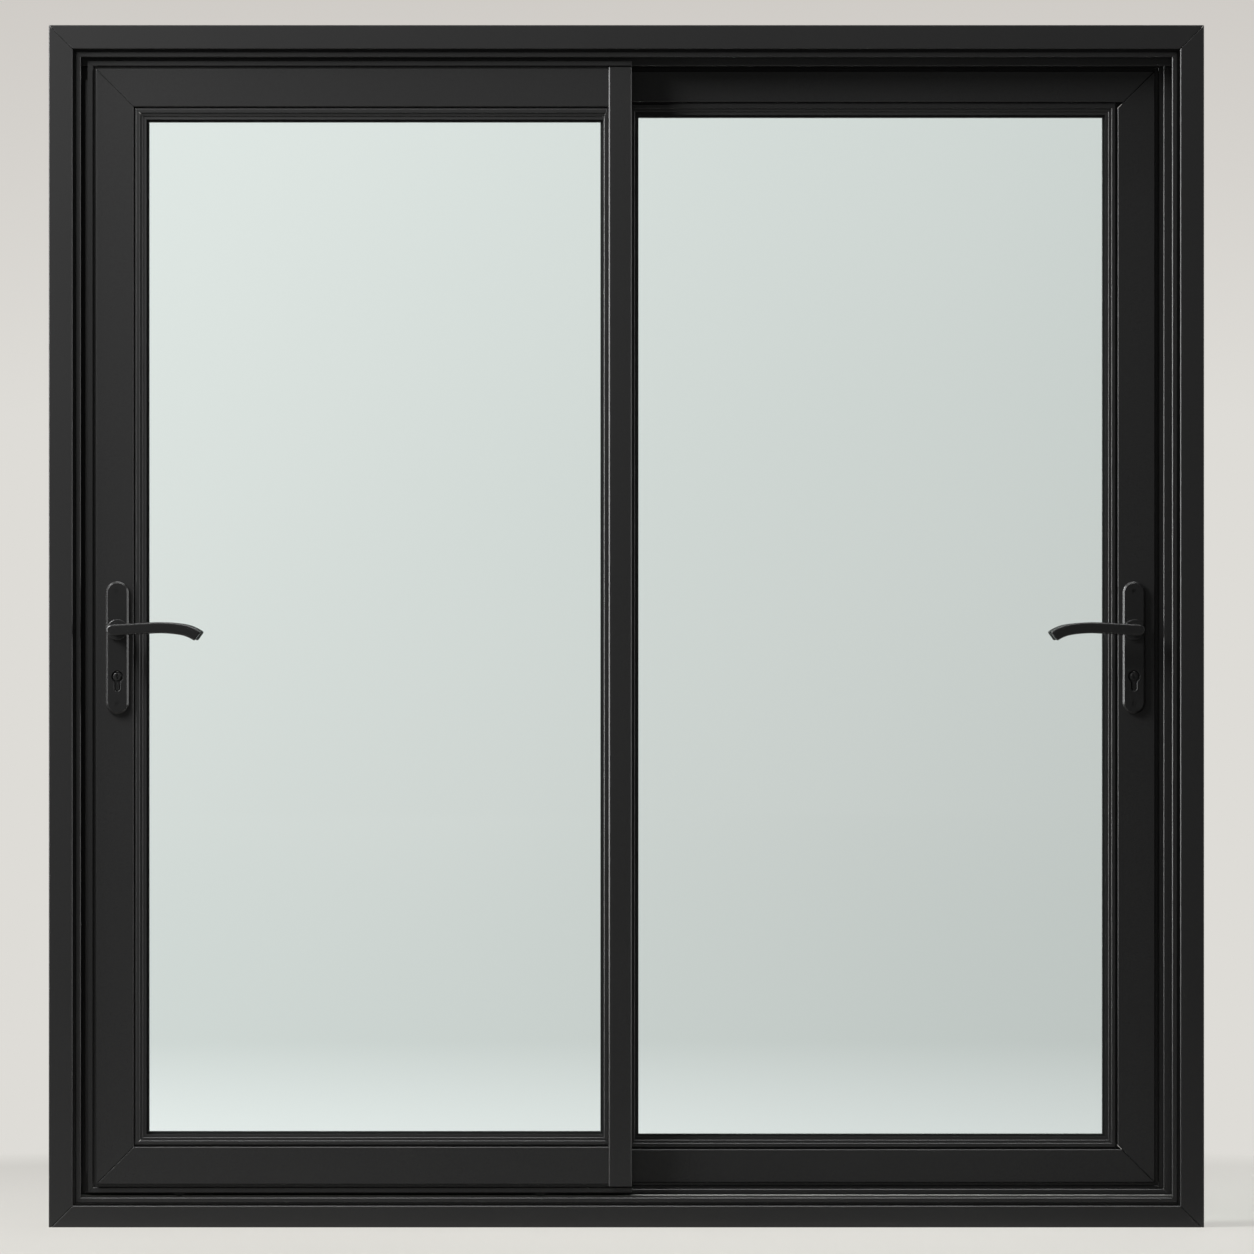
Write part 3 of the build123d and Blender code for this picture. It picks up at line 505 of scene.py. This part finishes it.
def floor_paint():
    """Matt pale paint that keeps a soft shadow and fades into the wall's colour away from the door."""
    material, tree, output, place = start_material("pale_painted_floor")
    path = add(tree, "ShaderNodeLightPath")
    spot = add(tree, "ShaderNodeSeparateXYZ", {"Vector": place})
    length = add(tree, "ShaderNodeVectorMath", {0: place}, operation="LENGTH").outputs["Value"]

    # Rays that see the floor, straight or through the glass, and in a reflection
    direct = add(tree, "ShaderNodeMath", {
        0: path.outputs["Is Camera Ray"], 1: path.outputs["Is Transmission Ray"]}, operation="MAXIMUM")
    seeing = add(tree, "ShaderNodeMath", {
        0: direct.outputs["Value"], 1: path.outputs["Is Glossy Ray"]}, operation="MAXIMUM")

    # How much of the floor shows the backdrop's own colour, which softens the shadow near the door
    fade = add(tree, "ShaderNodeMapRange", {
        "Value": length, "From Min": FLOOR_FADE[0], "From Max": FLOOR_FADE[1]})
    far = add(tree, "ShaderNodeMath", {
        0: fade.outputs["Result"], 1: seeing.outputs["Value"]}, operation="MULTIPLY")
    even = add(tree, "ShaderNodeMath", {0: direct.outputs["Value"], 1: FLOOR_EVENNESS}, operation="MULTIPLY")
    glowing = add(tree, "ShaderNodeMath", {
        0: far.outputs["Value"], 1: even.outputs["Value"]}, operation="MAXIMUM")

    # Behind the glass: pale near the door, a little darker further back, shaded to the right
    haze = add(tree, "ShaderNodeMapRange", {
        "Value": length, "From Min": HAZE_FADE[0], "From Max": HAZE_FADE[1]})
    distant = add(tree, "ShaderNodeMixRGB", {
        "Fac": haze.outputs["Result"], "Color1": linear(FLOOR_BEYOND_FAR), "Color2": linear(BEYOND_LOW)})
    band = add(tree, "ShaderNodeMapRange", {
        "Value": length, "From Min": BEYOND_FADE[0], "From Max": BEYOND_FADE[1]})
    through = add(tree, "ShaderNodeMixRGB", {
        "Fac": band.outputs["Result"], "Color1": linear(FLOOR_BEYOND_NEAR),
        "Color2": distant.outputs["Color"]})
    fan = add(tree, "ShaderNodeMapRange", {
        "Value": spot.outputs["Y"], "From Min": 0.0, "From Max": FLOOR_RADIUS,
        "To Min": FAN_START, "To Max": FAN_START + FLOOR_RADIUS})
    slope = add(tree, "ShaderNodeMath", {
        0: spot.outputs["X"], 1: fan.outputs["Result"]}, operation="DIVIDE")
    shaded = dim_to_right(tree, through.outputs["Color"], slope.outputs["Value"])

    # In front of the door, shine sees the dim room's floor
    front = add(tree, "ShaderNodeMapRange", {
        "Value": spot.outputs["Y"], "From Min": ROOM_FRONT[0], "From Max": ROOM_FRONT[1]})
    dim = add(tree, "ShaderNodeMath", {
        0: front.outputs["Result"], 1: path.outputs["Is Glossy Ray"]}, operation="MULTIPLY")
    round_about = add(tree, "ShaderNodeMixRGB", {
        "Fac": dim.outputs["Value"], "Color1": linear(WALL), "Color2": linear(ROOM)})
    shown = add(tree, "ShaderNodeMixRGB", {
        "Fac": path.outputs["Is Transmission Ray"], "Color1": round_about.outputs["Color"],
        "Color2": shaded})
    glow = add(tree, "ShaderNodeEmission", {"Color": shown.outputs["Color"], "Strength": 1.0})

    # The paint itself: pale where it is seen and close to the sill, greyer for the light it throws back.
    # Where it is seen, it carries painted shade on the left, where the lamps light it most, and painted light
    # on the right, over the door's shadow
    close = add(tree, "ShaderNodeMapRange", {
        "Value": spot.outputs["Y"], "From Min": POLISH_FRONT[0], "From Max": POLISH_FRONT[1]})
    polish = add(tree, "ShaderNodeMath", {
        0: close.outputs["Result"], 1: path.outputs["Is Glossy Ray"]}, operation="MULTIPLY")
    pale = add(tree, "ShaderNodeMath", {
        0: direct.outputs["Value"], 1: polish.outputs["Value"]}, operation="MAXIMUM")
    # Painted shade and light: the seen paint goes from darker on the left to paler on the right
    side = add(tree, "ShaderNodeMapRange", {
        "Value": spot.outputs["X"], "From Min": PAINTED_SHADE_ACROSS[0], "From Max": PAINTED_SHADE_ACROSS[1]})
    seen = add(tree, "ShaderNodeMixRGB", {
        "Fac": side.outputs["Result"], "Color1": linear(FLOOR_SEEN_LEFT_PAINTED_SHADE), "Color2": linear(FLOOR_SEEN_RIGHT_PAINTED_LIGHT)})
    paint = add(tree, "ShaderNodeMixRGB", {
        "Fac": pale.outputs["Value"], "Color1": linear(FLOOR_BOUNCE), "Color2": seen.outputs["Color"]})
    matt = add(tree, "ShaderNodeBsdfDiffuse", {"Color": paint.outputs["Color"]})

    mix = add(tree, "ShaderNodeMixShader", {
        0: glowing.outputs["Value"], 1: matt.outputs["BSDF"], 2: glow.outputs["Emission"]})
    tree.links.new(mix.outputs["Shader"], output.inputs["Surface"])
    return material


def make_floor():
    """A wide pale disc under the door."""
    shape = bmesh.new()
    bmesh.ops.create_circle(shape, cap_ends=True, radius=FLOOR_RADIUS, segments=96)
    mesh = bpy.data.meshes.new("floor")
    shape.to_mesh(mesh)
    shape.free()
    mesh.materials.append(floor_paint())
    floor = bpy.data.objects.new("floor", mesh)
    bpy.context.scene.collection.objects.link(floor)


def make_lamp(name, place, aim, width, height, watts):
    """A soft lamp that lights the door without showing itself."""
    lamp = bpy.data.lights.new(name, "AREA")
    lamp.shape = "RECTANGLE"
    lamp.size = width
    lamp.size_y = height
    lamp.energy = watts
    holder = bpy.data.objects.new(name, lamp)
    bpy.context.scene.collection.objects.link(holder)
    holder.visible_camera = False
    holder.visible_transmission = False
    holder.location = place
    holder.rotation_euler = (Vector(aim) - Vector(place)).to_track_quat("-Z", "Y").to_euler()


def make_camera():
    """Square-on view from far away, at the photograph's framing."""
    seen_width = 2.1974
    centre_x, centre_z = 0.001, 1.0486
    lens_mm, sensor_mm = 300.0, 36.0
    data = bpy.data.cameras.new("camera")
    data.lens = lens_mm
    data.sensor_width = sensor_mm
    data.clip_end = 200
    camera = bpy.data.objects.new("camera", data)
    bpy.context.scene.collection.objects.link(camera)
    distance = seen_width * lens_mm / sensor_mm
    camera.location = (centre_x, -distance, centre_z)
    camera.rotation_euler = (math.radians(90), 0, 0)
    bpy.context.scene.camera = camera


make_world()
make_floor()
make_lamp("upper_left_softbox", place=(-2.9, -1.6, 3.7), aim=(0.1, 0, 1.2), width=1.5, height=1.5, watts=265)
make_lamp("left_strip", place=(-3.0, -0.4, 2.0), aim=(0, 0, 1.6), width=0.7, height=3.4, watts=95)
make_lamp("top_strip", place=(0.0, -0.6, 4.4), aim=(0, 0, 1.0), width=3.0, height=0.5, watts=45)
make_lamp("right_strip", place=(3.2, -0.4, 1.4), aim=(0, 0, 1.2), width=0.7, height=3.0, watts=20)
make_lamp("back_fill", place=(2.0, 5.0, 3.5), aim=(0, 0, 1.0), width=3.0, height=3.0, watts=100)
make_camera()
bpy.context.scene.view_settings.view_transform = "Standard"
